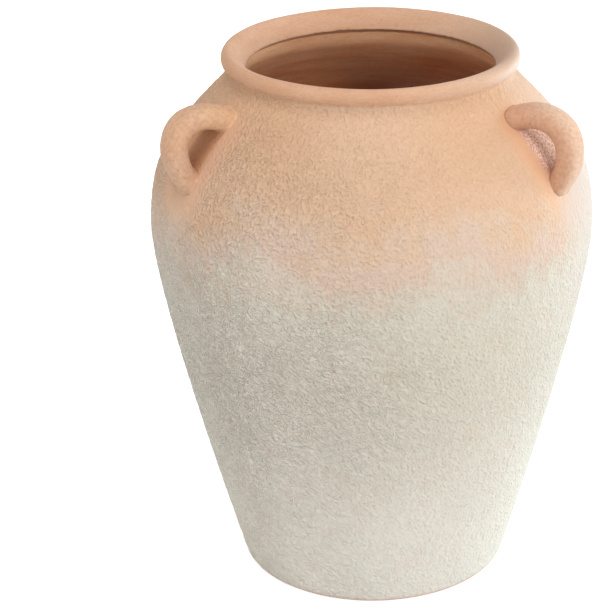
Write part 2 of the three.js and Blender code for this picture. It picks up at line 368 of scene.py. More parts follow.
def turned_piece(name, stretches, closed=True, columns=TURN_STEPS):
    """Carries a profile round the axis. Each stretch is (points, displacement function or
    None, material index); stretches meet at sharp corners. An open profile starts and
    ends on the axis, where its end points become poles."""
    profile, pushes, slots, corners = join_profile(stretches, closed)
    normal = profile_normals(stretches, profile, pushes, corners, closed)
    angle = np.arange(columns) * 2 * math.pi / columns
    angles, row_of = np.meshgrid(angle, np.arange(len(profile)))
    points = around(profile[row_of, 0], profile[row_of, 1], angles).reshape(-1, 3)
    normals = around(normal[row_of, 0], normal[row_of, 1], angles).reshape(-1, 3)
    relief = np.zeros(len(points))
    for push in {p for p in pushes if p is not None}:
        chosen = np.isin(row_of.reshape(-1), [i for i, p in enumerate(pushes) if p is push])
        relief[chosen] = push(points[chosen])
    points = points + normals * relief[:, None]
    fields = {"bare_and_shade": bare_and_shaded_under_strap(points), "wiped": wiped(points)}
    first, last = (0, len(profile)) if closed else (1, len(profile) - 2)
    faces = ring_faces(np.arange(first, last), len(profile), columns)
    face_slots = np.repeat(np.array(slots)[first:last], columns).tolist()
    if not closed:
        keep = slice(columns, (len(profile) - 1) * columns)
        poles = np.array([[0, 0, profile[0, 1]], [0, 0, profile[-1, 1]]])
        points = np.concatenate([points[keep], poles])
        fields = {label: np.append(field[keep], [0, 0]) for label, field in fields.items()}
        faces = (np.array(faces) - columns).tolist()
        faces += pole_faces(columns, (len(profile) - 3) * columns, len(points) - 2, len(points) - 1)
        face_slots += [slots[0]] * columns + [slots[-1]] * columns
        corners = [c - 1 for c in corners if c > 0]

    def on_corner(pairs):
        row = pairs // columns
        return (row[:, 0] == row[:, 1]) & np.isin(row[:, 0], corners)

    piece = add_mesh(name, points, faces, face_slots, on_corner, fields)
    print(name, "faces:", len(faces))
    return piece


# %% Keyed joints
KEY_FOOT, KEY_TOP, KEY_RISE = 2 * MM, 0.9 * MM, 2.5 * MM
KEY_ROOM = 0.3 * MM


def key_line(z, outer, inner, room=0.0):
    """The ridge across the wall, or the same ridge grown by some room as the groove."""
    middle = (outer + inner) / 2
    foot, top, rise = KEY_FOOT + room, KEY_TOP + room, z + KEY_RISE + room
    return np.array([(outer, z), (middle + foot, z), (middle + top, rise),
                     (middle - top, rise), (middle - foot, z), (inner, z)])


print("keys", KEY_RISE / MM, "mm high with", KEY_ROOM / MM, "mm of room")

# %% [markdown]
# ## The walls and the base
# Outside, the coat covers the body from the foot to just under the rim, where it runs
# out. Inside, the clay is bare, with the faint rings that fingers leave as the wheel
# turns. Both are displacements of the same grid: the coat by the relief above, and the
# inside by a wave of about one finger's width in height.

# %% Displacements of the walls
COAT_TOP = (NECK_TOP, NECK_TOP + 6 * MM)  # the coat thins out between these heights
COAT_FOOT = (0.2 * MM, 4 * MM)
RING_SPACING = 11 * MM
RING_HEIGHT = 0.1 * MM
SQUEEZED = 0.8 * MM  # clay pressed out of the joint under the rim and smoothed with a finger


def coat(points):
    """Slip relief, faded out at the neck and the foot and thinned where it was wiped."""
    amount = 1 - smooth_step(points[:, 2], *COAT_TOP)
    amount *= smooth_step(points[:, 2], *COAT_FOOT)
    amount *= 1 - 0.75 * wiped(points)
    return slip_relief(points) * amount


def throwing_rings(points):
    """Finger rings: a sine of the height, with its phase and depth let wander by noise."""
    wander = gradient_noise(points, 60 * MM, 31)
    phase = 2 * math.pi * points[:, 2] / RING_SPACING + 2.5 * wander
    rings = RING_HEIGHT * (np.sin(phase) - 1) * (0.6 + 0.4 * gradient_noise(points, 45 * MM, 32))
    return rings + SQUEEZED * smooth_step(points[:, 2], NECK_TOP - 14 * MM, NECK_TOP)


COAT, BARE_INSIDE, BARE_UNDERSIDE = 0, 1, 2

# %% Base, lower wall and shoulder
base_outer = outer_radius(BASE_HEIGHT)
base_inner = wall_line(BASE_HEIGHT, BELLY_HEIGHT, 2, WALL)[0, 0]
belly_inner = BELLY_RADIUS - WALL
neck_inner = NECK_RADIUS - WALL
foot_line = wall_line(0, BASE_HEIGHT, 22)
floor_corner = base_inner - (BASE_HEIGHT - FLOOR_THICKNESS) * math.tan(FOOT_LEAN)
floor_sweep = bezier([(base_inner, BASE_HEIGHT), (floor_corner, FLOOR_THICKNESS),
                      (floor_corner - FLOOR_FILLET, FLOOR_THICKNESS)], np.linspace(0, 1, 10))


def radial_line(start, end, z, steps):
    return np.stack([np.linspace(start, end, steps), np.full(steps, z)], axis=1)


base = turned_piece("base_clay", [
    (radial_line(0, foot_line[0, 0], 0, 10), None, BARE_UNDERSIDE),
    (foot_line, coat, COAT),
    (key_line(BASE_HEIGHT, base_outer, base_inner), None, BARE_INSIDE),
    (floor_sweep, None, BARE_INSIDE),
    (radial_line(floor_sweep[-1, 0], 0, FLOOR_THICKNESS, 10), None, BARE_INSIDE),
], closed=False)
lower_wall = turned_piece("lower_wall_clay", [
    (wall_line(BASE_HEIGHT, BELLY_HEIGHT, 126), coat, COAT),
    (key_line(BELLY_HEIGHT, BELLY_RADIUS, belly_inner), None, BARE_INSIDE),
    (wall_line(BASE_HEIGHT, BELLY_HEIGHT, 14, WALL)[::-1], None, BARE_INSIDE),
    (key_line(BASE_HEIGHT, base_outer, base_inner, KEY_ROOM)[::-1], None, BARE_INSIDE),
])
shoulder_wall = turned_piece("shoulder_wall_clay", [
    (wall_line(BELLY_HEIGHT, NECK_TOP, 102), coat, COAT),
    (key_line(NECK_TOP, NECK_RADIUS, neck_inner), None, BARE_INSIDE),
    (wall_line(BELLY_HEIGHT, NECK_TOP, 40, WALL)[::-1], throwing_rings, BARE_INSIDE),
    (key_line(BELLY_HEIGHT, BELLY_RADIUS, belly_inner, KEY_ROOM)[::-1], None, BARE_INSIDE),
])

# %% [markdown]
# ## The rim
# The rim is a ring rolled over with a wet sponge: a bead outside, a rounded crest, and a
# slope down into the mouth that ends in a small overhang. Under the sponge it is smooth,
# but no rim runs quite true, so a slow noise lets it waver by a few tenths of a
# millimetre.

# %% Rim ring
BEAD_OVERHANG, BEAD_HALF_WIDTH, BEAD_HALF_HEIGHT = 3.3 * MM, 3.8 * MM, 5.1 * MM
MOUTH_RADIUS, MOUTH_DEPTH, MOUTH_EDGE = 71.3 * MM, 10.7 * MM, 1.2 * MM


def sponged(points):
    """The end of the coat's relief, then a slow waver plus a faint ripple, always inwards."""
    waver = gradient_noise(points, 55 * MM, 41)
    ripple = gradient_noise(points * [1, 1, 1.8], 9 * MM, 42)
    free = smooth_step(points[:, 2], NECK_TOP, NECK_TOP + 3 * MM)
    return coat(points) + free * (0.22 * MM * (waver - 1) + 0.07 * MM * (ripple - 1))


bead_centre = (NECK_RADIUS + BEAD_OVERHANG - BEAD_HALF_WIDTH, HEIGHT - BEAD_HALF_HEIGHT)
crease = -math.acos((NECK_RADIUS - bead_centre[0]) / BEAD_HALF_WIDTH)
mouth_edge_height = HEIGHT - MOUTH_DEPTH
slope_run = bead_centre[0] - MOUTH_RADIUS
rim_outside = np.concatenate([
    [(NECK_RADIUS, NECK_TOP)],
    bezier([(NECK_RADIUS, NECK_TOP + 1 * MM), (NECK_RADIUS, NECK_TOP + 3.0 * MM),
            arc(bead_centre, BEAD_HALF_WIDTH, BEAD_HALF_HEIGHT, -1.0, -1.0, 1)[0]],
           np.linspace(0, 1, 8)),
    arc(bead_centre, BEAD_HALF_WIDTH, BEAD_HALF_HEIGHT, -1.0, math.pi / 2, 22)[1:],
    bezier([(bead_centre[0], HEIGHT), (bead_centre[0] - 0.4 * slope_run, HEIGHT),
            (MOUTH_RADIUS + 0.2 * slope_run, mouth_edge_height + 0.45 * MOUTH_DEPTH),
            (MOUTH_RADIUS, mouth_edge_height)], np.linspace(0, 1, 20))[1:],
    arc((MOUTH_RADIUS + MOUTH_EDGE, mouth_edge_height), MOUTH_EDGE, MOUTH_EDGE,
        math.pi, 1.5 * math.pi, 6)[1:],
])
rim = turned_piece("rim_ring_clay", [
    (rim_outside, sponged, 0),
    (np.array([rim_outside[-1], (neck_inner, NECK_TOP)]), None, 0),
    (key_line(NECK_TOP, NECK_RADIUS, neck_inner, KEY_ROOM)[::-1], None, 0),
])

# %% [markdown]
# ## The straps
# A strap is a flattened roll of clay carried along its axis, wider than it is thick and a
# little thinner at the lower end. Where it meets the shoulder the clay is smeared out
# with a thumb, which makes a small hollow fillet. The fillet comes from one rule: near
# the wall the surface moves out from the axis by rho less the root of rho squared less
# (rho less d) squared, where d is its distance from the wall, which is a quarter circle
# of radius rho. Points that would lie deep inside the wall are held just under its skin,
# so nothing shows inside the jar.

# %% Strap helpers
STRAP_STEPS = 190
STRAP_SIDES = 96
BURIED = 2.5 * MM
UNEVEN, RIPPLE = 0.45 * MM, 0.12 * MM  # how far the hand-rolled surface strays
SEAM_NEAR, SEAM_FAR = 0.2 * MM, 0.8 * MM  # the dark line lies within this of the wall


def wall_distance(points):
    """Signed distance from the outside of the wall, positive outside it: the difference in
    radius times the radial share of the outline's normal at that height."""
    radius = np.hypot(points[:, 0], points[:, 1])
    share = np.interp(points[:, 2], OUTLINE[:, 1], SLOPES[:, 1])
    return (radius - outer_radius(points[:, 2])) * share


def squared(value):
    """A cosine or sine brought nearer to 1, which squares a circle with round corners."""
    return np.sign(value) * np.abs(value) ** (2 / STRAP_SQUARENESS)


def held_under_skin(points):
    """Moves points that lie deep in the wall out along its normal, in three small steps."""
    radial = points[:, :2] / np.hypot(points[:, 0], points[:, 1])[:, None]
    flat = np.interp(points[:, 2], OUTLINE[:, 1], SLOPES[:, 1])
    tilt = np.interp(points[:, 2], OUTLINE[:, 1], -SLOPES[:, 0])
    outward = np.stack([radial[:, 0] * flat, radial[:, 1] * flat, tilt], axis=1)
    for _ in range(3):
        depth = np.clip(-wall_distance(points) - BURIED, 0, None)
        points = points + outward * depth[:, None]
    return points


def thumbed(hand, rows, fillets):
    """How far the fillet pushes each point out: the quarter circle rule of this cell."""
    near = np.clip(wall_distance(hand), 0, None)
    radius = np.where(rows < STRAP_STEPS / 2, *fillets)
    gap = np.clip(radius - near, 0, None)
    return radius - np.sqrt(np.maximum(radius ** 2 - gap ** 2, 0))


# %% Strap handles
def strap(name, degrees, lean, drop, fillets, cracks, seed):
    """Flattened ring at each share of the axis: aside = half width x squared cosine, rise =
    half thickness x squared sine, both pushed out by the thumbed fillet near the wall. The
    lean moves the lower root sideways along a smooth step, as a strap set by hand has.
    Fillets and cracks are pairs for the upper and the lower root: a crack says how dark
    the luting line of painted crease shade is where the strap meets the wall, and below it
    only shows at the sides."""
    share = np.linspace(0, 1, STRAP_STEPS)
    axis = strap_axis(share, drop)
    along = np.gradient(axis, axis=0)
    along /= np.linalg.norm(along, axis=1)[:, None]
    out = np.stack([-along[:, 1], along[:, 0]], axis=1)
    angle = np.arange(STRAP_SIDES) * 2 * math.pi / STRAP_SIDES
    angles, rows = np.meshgrid(angle, np.arange(STRAP_STEPS))
    row_of = rows.reshape(-1)
    thickness = (UPPER_THICKNESS + (LOWER_THICKNESS - UPPER_THICKNESS) * share)[rows]
    aside = STRAP_WIDTH / 2 * squared(np.cos(angles)) + lean * smooth_step(share, 0, 1)[rows]
    rise = thickness / 2 * squared(np.sin(angles))
    core = around(axis[rows, 0], axis[rows, 1], 0 * angles).reshape(-1, 3)
    offset = np.stack([aside, -out[rows, 0] * rise, out[rows, 1] * rise], axis=-1).reshape(-1, 3)
    outward = offset / np.linalg.norm(offset, axis=1)[:, None]
    hand = core + offset
    uneven = UNEVEN * gradient_noise(hand + seed, 17 * MM, seed) - UNEVEN
    uneven += RIPPLE * gradient_noise(hand * [1, 1, 1.5] + seed, 4 * MM, seed + 1)
    points = hand + outward * (uneven + thumbed(hand, row_of, fillets))[:, None]
    # Painted crease shade along the luting line where the strap meets the wall.
    luting_and_crease_shade = 1 - smooth_step(np.abs(wall_distance(points)), SEAM_NEAR, SEAM_FAR)
    at_sides = smooth_step(np.abs(np.cos(angles)), 0.1, 0.6).reshape(-1)
    luting_and_crease_shade *= np.where(row_of < STRAP_STEPS / 2, cracks[0], cracks[1] * at_sides)
    outer = smooth_step(np.sin(angles), 0.4, 1.0).reshape(-1)
    points = held_under_skin(points)
    ends = np.stack([points[:STRAP_SIDES].mean(axis=0), points[-STRAP_SIDES:].mean(axis=0)])
    turn = math.radians(degrees)
    spin = np.array([[math.cos(turn), math.sin(turn), 0], [-math.sin(turn), math.cos(turn), 0],
                     [0, 0, 1]])
    points = np.concatenate([points, ends]) @ spin
    faces = ring_faces(np.arange(STRAP_STEPS - 1), STRAP_STEPS, STRAP_SIDES)
    faces += pole_faces(STRAP_SIDES, (STRAP_STEPS - 1) * STRAP_SIDES, len(points) - 2, len(points) - 1)
    fields = {"luting_and_crease_shade": np.append(luting_and_crease_shade, [0, 0]), "outer": np.append(outer, [0, 0])}
    piece = add_mesh(name, points, faces, np.zeros(len(faces)), None, fields)
    print(name, "faces:", len(faces))
    return piece


straps = {
    "handle_front_right": strap("strap_front_right", 59.4, 2 * MM, 1.6 * MM,
                                (0.8 * MM, 0.8 * MM), (0.6, 0.95), 51),
    "handle_back": strap("strap_back", 180, 0, 0, (2.5 * MM, 2 * MM), (0.4, 0.4), 53),
    "handle_front_left": strap("strap_front_left", 299.6, 2 * MM, -2 * MM,
                               (1.2 * MM, 1.5 * MM), (0.12, 0.35), 55),
}

# %% [markdown]
# ## Finishes
# Colours are written as sRGB hex values, as a paint chart would give them, and one
# function turns them into the linear numbers that Blender mixes. One other function adds
# a node with its settings and links, so that each material below reads as a list of
# what it is made of.

# %% Colour and node helpers
def linear(code):
    """sRGB hex to linear: c / 12.92 below 0.04045, else ((c + 0.055) / 1.055) to the 2.4."""
    parts = [int(code[i:i + 2], 16) / 255 for i in (1, 3, 5)]
    return tuple(c / 12.92 if c <= 0.04045 else ((c + 0.055) / 1.055) ** 2.4 for c in parts) + (1.0,)


def add_node(tree, kind, links=None, **settings):
    """Adds a node. A setting whose name is an input's goes to that input, any other to the
    node itself, and links are {input: output socket}."""
    made = tree.nodes.new(kind)
    for key, value in settings.items():
        label = key.replace("_", " ").title()
        if label in made.inputs:
            made.inputs[label].default_value = value
        else:
            setattr(made, key, value)
    for key, socket in (links or {}).items():
        tree.links.new(socket, made.inputs[key])
    return made


def new_material(name, roughness):
    """A clay material: the shader with its roughness, a low gloss, and the pale veil that
    dust gives a matt surface where it turns away from the eye."""
    material = bpy.data.materials.new(name)
    material.use_nodes = True
    shader = material.node_tree.nodes["Principled BSDF"]
    shader.inputs["Roughness"].default_value = roughness
    shader.inputs["Specular IOR Level"].default_value = 0.25
    shader.inputs["Sheen Weight"].default_value = 0.12
    shader.inputs["Sheen Roughness"].default_value = 0.4
    return material, material.node_tree, shader


def noise(tree, where, width, detail=2.0, **settings):
    """Noise whose patches are about the given width in metres."""
    made = add_node(tree, "ShaderNodeTexNoise", {"Vector": where}, detail=detail,
                    scale=1 / width, **settings)
    return made.outputs["Fac"]


def span(tree, value, low, high, to_low=0.0, to_high=1.0):
    """Maps a value from one range to another, clamped."""
    made = add_node(tree, "ShaderNodeMapRange", {"Value": value})
    for label, number in (("From Min", low), ("From Max", high),
                          ("To Min", to_low), ("To Max", to_high)):
        made.inputs[label].default_value = number
    return made.outputs["Result"]


def eased(tree, value, low, high, to_low=0.0, to_high=1.0):
    """The same as span, eased at both ends."""
    socket = span(tree, value, low, high, to_low, to_high)
    socket.node.interpolation_type = "SMOOTHSTEP"
    return socket


def mixed(tree, share, first, second, blend="MIX"):
    """Mixes two colours, each a hex code, a tuple or a socket, by a number or a socket."""
    made = add_node(tree, "ShaderNodeMix", data_type="RGBA", blend_type=blend)
    for label, value in ((0, share), (6, first), (7, second)):
        if isinstance(value, str):
            made.inputs[label].default_value = linear(value)
        elif isinstance(value, (int, float, tuple)):
            made.inputs[label].default_value = value
        else:
            tree.links.new(value, made.inputs[label])
    return made.outputs[2]


def ramp(tree, value, stops):
    """Colour ramp over hex stops, smoothly eased."""
    made = add_node(tree, "ShaderNodeValToRGB", {"Fac": value})
    line = made.color_ramp
    line.interpolation = "EASE"
    while len(line.elements) < len(stops):
        line.elements.new(0.5)
    for element, (place, code) in zip(line.elements, stops):
        element.position = place
        element.color = linear(code)
    return made.outputs["Color"]


def math_node(tree, operation, first, second):
    made = add_node(tree, "ShaderNodeMath", operation=operation)
    for index, value in enumerate((first, second)):
        if isinstance(value, (int, float)):
            made.inputs[index].default_value = value
        else:
            tree.links.new(value, made.inputs[index])
    return made.outputs[0]


def product(tree, *values):
    """Multiplies sockets together."""
    total = values[0]
    for value in values[1:]:
        total = math_node(tree, "MULTIPLY", total, value)
    return total


def blended(tree, share, first, second):
    """Mixes two numbers, both sockets, by a number or a socket."""
    made = add_node(tree, "ShaderNodeMix", {2: first, 3: second}, data_type="FLOAT")
    if isinstance(share, float):
        made.inputs[0].default_value = share
    else:
        tree.links.new(share, made.inputs[0])
    return made.outputs[0]


def vector_node(tree, operation, first, second=None, scale=None):
    """Vector arithmetic; the second operand is a tuple or a socket."""
    made = add_node(tree, "ShaderNodeVectorMath", {0: first}, operation=operation)
    if isinstance(second, tuple):
        made.inputs[1].default_value = second
    elif second is not None:
        tree.links.new(second, made.inputs[1])
    if scale is not None:
        made.inputs["Scale"].default_value = scale
    return made.outputs["Value" if operation in ("LENGTH", "DISTANCE") else "Vector"]


def attribute(tree, name):
    """A number that was kept on the points of the mesh."""
    return add_node(tree, "ShaderNodeAttribute", attribute_name=name).outputs["Fac"]


def stretched(tree, where, scale):
    """Object coordinates stretched along the axes, for brush strokes and wheel marks."""
    return add_node(tree, "ShaderNodeMapping", {"Vector": where}, scale=scale).outputs["Vector"]


def bumped(tree, heights, strength, distance, below=None):
    """Normal of a relief, laid over the normal of the one below it if there is one."""
    links = {"Height": heights} if below is None else {"Height": heights, "Normal": below}
    made = add_node(tree, "ShaderNodeBump", links, strength=strength, distance=distance)
    return made.outputs["Normal"]


def position(tree):
    """Object coordinates, and their X, which grows to the right, and Z, the height."""
    where = add_node(tree, "ShaderNodeTexCoord").outputs["Object"]
    axes = add_node(tree, "ShaderNodeSeparateXYZ", {"Vector": where}).outputs
    return where, axes["X"], axes["Z"]


def off_axis(tree, where):
    """The same coordinates brought down to the floor, so that they point away from the axis."""
    return vector_node(tree, "MULTIPLY", where, (1, 1, 0))


print("chalk white in linear numbers", [round(c, 3) for c in linear("#CFC9BC")])

# %% [markdown]
# ## Slip coat
# Slip is liquid clay with sand, brushed over the leather-hard jar. Here a terracotta
# slip covers the shoulder, and a chalky one was laid over the lower body, so the colour
# drifts from peach to greyish white through a pinkish band round the belly. The height
# drives a colour ramp, and slow noise pushes the height up and down, so that the edge is
# cloudy. The chalk is painted whiter towards the foot, as light thrown up by the floor,
# and on the left, as painted light, and the far right is paled by painted light from the
# right over a dusty veil. The hollows of the relief are painted a little darker and
# warmer, as painted shade, and the crests a little paler, as painted highlight. Round the
# handles a wet finger has rubbed the slip away, and under them the raw clay shows,
# spattered by the brush and darkened by painted shade of the strap.
#
# The finest strokes are a bump. They stand upright on the shoulder and lie along a slant
# on the body, because the potter turns the jar while the brush comes down. They are
# strongest on the left and calm at the foot, on the shoulder and in a few light spots.

# %% Brush strokes
SLANT = 5.0  # turn about the axis in radians for each metre of height
STROKE_WIDTH = 1.6 * MM
CALM_SPOTS = [  # where the brush lay lightly: centre, reach, factor
    (tuple(around(122 * MM, 228 * MM, math.radians(-22))), 45 * MM, 0.68),
    (tuple(around(92 * MM, 62 * MM, math.radians(10))), 50 * MM, 0.7),
]


def wandering(tree, where):
    """Positions swirled over about a fingertip and bent over a hand's breadth."""
    swirl = add_node(tree, "ShaderNodeTexNoise", {"Vector": where}, detail=1.0, scale=1 / (12 * MM))
    centred = vector_node(tree, "SUBTRACT", swirl.outputs["Color"], (0.5, 0.5, 0.5))
    broad = add_node(tree, "ShaderNodeTexNoise", {"Vector": where}, detail=1.0, scale=1 / (45 * MM))
    moved = vector_node(tree, "ADD", where, vector_node(tree, "SCALE", centred, scale=2.4 * MM))
    bend = vector_node(tree, "SCALE", broad.outputs["Color"], scale=9 * MM)
    return vector_node(tree, "ADD", moved, bend)


def grain_field(tree, moved, height):
    """Grains from 0 to 1, drawn out upright above and along a slant below, mixed with round
    dabs. The slant comes from turning each point about the axis by an angle that grows
    with its height, so that grains drawn out upright there lie along a helix here."""
    turn = math_node(tree, "MULTIPLY", height, SLANT)
    slanted = add_node(tree, "ShaderNodeVectorRotate", {"Vector": moved, "Angle": turn},
                       rotation_type="Z_AXIS").outputs["Vector"]
    upright = noise(tree, stretched(tree, moved, (1, 1, 0.7)), STROKE_WIDTH, 0.9)
    aslant = noise(tree, stretched(tree, slanted, (1, 1, 0.86)), STROKE_WIDTH + 0.1 * MM, 0.9)
    dabbed = noise(tree, moved, STROKE_WIDTH + 0.15 * MM, 0.8)
    drawn = blended(tree, span(tree, height, 250 * MM, 170 * MM), upright, aslant)
    return span(tree, blended(tree, 0.4, drawn, dabbed), 0, 1, -0.19, 1.19)


def brush_strokes(tree, where, side, height):
    """Grains, and the fine relief in millimetres: the grains with crisp edges, and flakes of
    thicker slip, times how hard the brush was pressed at each place."""
    moved = wandering(tree, where)
    grains = grain_field(tree, moved, height)
    crisp = math_node(tree, "ADD", math_node(tree, "MULTIPLY", grains, 1.65),
                      eased(tree, grains, 0.44, 0.56, 0, 0.12))
    flakes = eased(tree, noise(tree, moved, 9 * MM, 4.0, roughness=0.65), 0.5, 0.58, 0, 0.12)
    pressed = [span(tree, height, 40 * MM, 130 * MM, 0.9, 1.42),
               span(tree, side, -70 * MM, 60 * MM, 1.95, 0.62),
               span(tree, height, 205 * MM, 235 * MM, 1, 0.64),
               span(tree, height, 275 * MM, 300 * MM, 1, 0.65)]
    for place, reach, factor in CALM_SPOTS:
        away = vector_node(tree, "DISTANCE", where, place)
        pressed.append(eased(tree, away, 0, reach, factor, 1))
    kept = span(tree, attribute(tree, "wiped"), 0, 1, 1, 0.25)
    return grains, product(tree, math_node(tree, "ADD", crisp, flakes), *pressed, kept)


print("calm spots:", len(CALM_SPOTS))

# %% Slip coat material
FADE_LOW, FADE_HIGH = 198 * MM, 258 * MM
FADE_COLOURS = [(0.0, "#CFC9BC"), (0.28, "#CDC0B1"), (0.55, "#D0B8A7"), (0.8, "#D1B59D"),
                (1.0, "#D2B094")]


def cloudy_fade(tree, where, height):
    """Chalk to peach by height, the height pushed up and down by slow and by quick noise."""
    clouds = span(tree, noise(tree, where, 70 * MM, 3.0), 0.3, 0.7, -18 * MM, 18 * MM)
    wisps = span(tree, noise(tree, where, 13 * MM, 3.0), 0.3, 0.7, -9 * MM, 9 * MM)
    level = math_node(tree, "ADD", math_node(tree, "ADD", height, clouds), wisps)
    return ramp(tree, span(tree, level, FADE_LOW, FADE_HIGH), FADE_COLOURS)


def handle_marks(tree, where, side, height, facing, colour):
    """Colour round the straps: rubbed off by the wet finger, paled on the far right by painted
    light from the right over a dusty veil, and bare under each strap, with painted shade."""
    rubbed = mixed(tree, span(tree, side, -20 * MM, 20 * MM), "#CBA085", "#DEA780")
    share = product(tree, attribute(tree, "wiped"), span(tree, height, 240 * MM, 262 * MM, 0.1, 0.6),
                    span(tree, facing, 0.8, 0.89, 1, 0.05))
    colour = mixed(tree, share, colour, rubbed)
    # Painted light from the right over a dusty veil: surfaces facing right are paled to grey white.
    right_light_and_dust = product(tree, eased(tree, facing, 0.8, 1.0, 0, 0.8), span(tree, height, 150 * MM, 200 * MM),
                   span(tree, height, 262 * MM, 292 * MM, 1, 0.25))
    colour = mixed(tree, right_light_and_dust, colour, "#CFC3BB")
    # Under each strap: bare clay spattered by the brush, with painted shade: darker under the upper
    # root, and plain brown without speckle under the left strap, which lies in shade.
    speckle = span(tree, noise(tree, where, 1.2 * MM, 3.0), 0.42, 0.58)
    spatter = mixed(tree, speckle, "#C9957A", "#EBC9B7")
    spatter = mixed(tree, span(tree, height, 272 * MM, 258 * MM, 0, 0.55), spatter, "#A3704F")
    under = mixed(tree, span(tree, side, -20 * MM, 20 * MM), "#CF9C76", spatter)
    return mixed(tree, attribute(tree, "bare_and_shade"), colour, under)


def slip_finish(tree, where, side, height):
    """Colour and relief of the coat at a place."""
    grains, relief = brush_strokes(tree, where, side, height)
    away = vector_node(tree, "NORMALIZE", off_axis(tree, where))
    facing = add_node(tree, "ShaderNodeSeparateXYZ", {"Vector": away}).outputs["X"]
    colour = cloudy_fade(tree, where, height)
    off_front = math_node(tree, "ABSOLUTE", side, 0)
    warm = product(tree, span(tree, height, 262 * MM, 290 * MM), span(tree, off_front, 15 * MM, 50 * MM))
    # Painted light: the lower left side and the far left edge are paled, and the foot is whitened as
    # light thrown up by the white floor.
    left = product(tree, span(tree, side, 10 * MM, -75 * MM, 0, 0.36),
                   span(tree, height, 240 * MM, 190 * MM))
    far_left = product(tree, eased(tree, facing, -0.75, -1.0, 0, 0.4),
                       span(tree, height, 250 * MM, 200 * MM))
    floor_light_whitening = span(tree, height, 150 * MM, 10 * MM, 0, 0.7)
    blush = span(tree, noise(tree, where, 16 * MM, 3.0), 0.55, 0.75, 0, 0.16)
    for share, tone in ((warm, "#D0A989"), (floor_light_whitening, "#E1DFD8"), (left, "#E8E3D7"),
                        (far_left, "#F0ECE2"), (blush, "#DCB49F")):
        colour = mixed(tree, share, colour, tone)
    # Painted shade in the hollows of the grains, darker and warmer, and painted highlight on their
    # crests.
    colour = mixed(tree, span(tree, grains, 0.5, 0.3, 0, 0.2), colour, "#EBCFB9", "MULTIPLY")
    colour = mixed(tree, span(tree, grains, 0.6, 0.8, 0, 0.08), colour, "#F2E6DC")
    colour = mixed(tree, span(tree, height, 3.5 * MM, 0.5 * MM, 0, 0.7), colour, "#CFA590")
    return handle_marks(tree, where, side, height, facing, colour), relief


def slip_coat():
    material, tree, shader = new_material("fading_slip_coat", 0.92)
    where, side, height = position(tree)
    colour, relief = slip_finish(tree, where, side, height)
    tree.links.new(colour, shader.inputs["Base Color"])
    tree.links.new(bumped(tree, relief, 1.0, 1 * MM), shader.inputs["Normal"])
    return material


SLIP = slip_coat()
print("slip coat nodes:", len(SLIP.node_tree.nodes))

# %% [markdown]
# ## Bare terracotta
# The rim and the straps are fired clay with no coat, sponged smooth. Close up the clay
# is finely mottled, with pores where grit or air came to the surface, and a brown line
# where a strap was luted on, darkened as painted shade of the crease there. Their tone is
# painted uneven for the light: the left strap's upper root paler as painted light, the
# right strap redder and darker as painted shade with its outer face paler as painted
# light, and the rim paler towards the right as painted light, its right end paled outside
# by painted light over some dust and darker inside as painted shade. Under the rim the
# coat ends in a ragged edge that creeps up to the bead. Inside the jar the clay is painted
# browner with the depth as painted shade and carries level streaks from the wheel, and
# the part of the far wall that shows through the mouth has painted shade in the middle
# and painted light on the right.

# %% Bare clay helpers
COAT_EDGE = (NECK_TOP + 5.5 * MM, NECK_TOP + 3 * MM)  # bare clay above, all slip below


def inside_tone(tree, shader, where, side, height, colour, deep):
    """The depth of the jar painted in three tones as painted shade and light: its own, darker,
    and on the part of the far wall that shows through the mouth, one of painted shade for the
    dim middle and one of painted light for where light falls in."""
    shader.inputs["Sheen Weight"].default_value = 0
    shader.inputs["Specular IOR Level"].default_value = 0.15
    back = add_node(tree, "ShaderNodeSeparateXYZ", {"Vector": where}).outputs["Y"]
    seen = product(tree, eased(tree, back, 0, 40 * MM), eased(tree, height, 205 * MM, 240 * MM))
    off_middle = math_node(tree, "ABSOLUTE", math_node(tree, "SUBTRACT", side, 4 * MM), 0)
    dim = product(tree, eased(tree, off_middle, 46 * MM, 8 * MM), seen)
    hidden = mixed(tree, dim, deep[0], deep[1])
    lit = product(tree, eased(tree, side, 2 * MM, 40 * MM),
                  span(tree, height, 282 * MM, 262 * MM), seen)
    hidden = mixed(tree, lit, hidden, deep[2])
    # Painted shade: below the neck the clay darkens into the depth tones.
    colour = mixed(tree, span(tree, height, 296 * MM, 250 * MM), colour, hidden)
    wheel = noise(tree, stretched(tree, where, (1, 1, 9)), 45 * MM, 3.0)
    return mixed(tree, span(tree, wheel, 0.4, 0.62, 0, 0.35), colour, "#E0C2AA", "MULTIPLY")


def rim_finish(tree, where, side, height, colour, normal):
    """The rim's right end, paled outside by painted light over some dust and darker inside as
    painted shade, and the coat below the bead.
    """
    radius = vector_node(tree, "LENGTH", off_axis(tree, where))
    outside = product(tree, span(tree, radius, 80 * MM, 83 * MM),
                      span(tree, height, HEIGHT - 1 * MM, HEIGHT - 4 * MM))
    # Painted light over some dust on the outside of the right end, and painted shade on its inner slope.
    lit_and_dusty = product(tree, span(tree, side, 62 * MM, 84 * MM, 0, 0.6), outside)
    colour = mixed(tree, lit_and_dusty, colour, "#D9CDC5")
    painted_shade_inside = product(tree, span(tree, side, 50 * MM, 80 * MM, 0, 0.7),
                     math_node(tree, "SUBTRACT", 1, outside))
    colour = mixed(tree, painted_shade_inside, colour, "#B0937F")
    slip, relief = slip_finish(tree, where, side, height)
    ragged = span(tree, noise(tree, where, 4 * MM, 3.0), 0.3, 0.7, -2 * MM, 2 * MM)
    creep = product(tree, span(tree, math_node(tree, "ADD", height, ragged), *COAT_EDGE),
                    span(tree, radius, 77 * MM, 79 * MM))
    normal = bumped(tree, product(tree, relief, creep), 1.0, 1 * MM, normal)
    return mixed(tree, creep, colour, slip), normal


print("coat ends", round((COAT_EDGE[0] - NECK_TOP) / MM, 1), "mm above the joint")

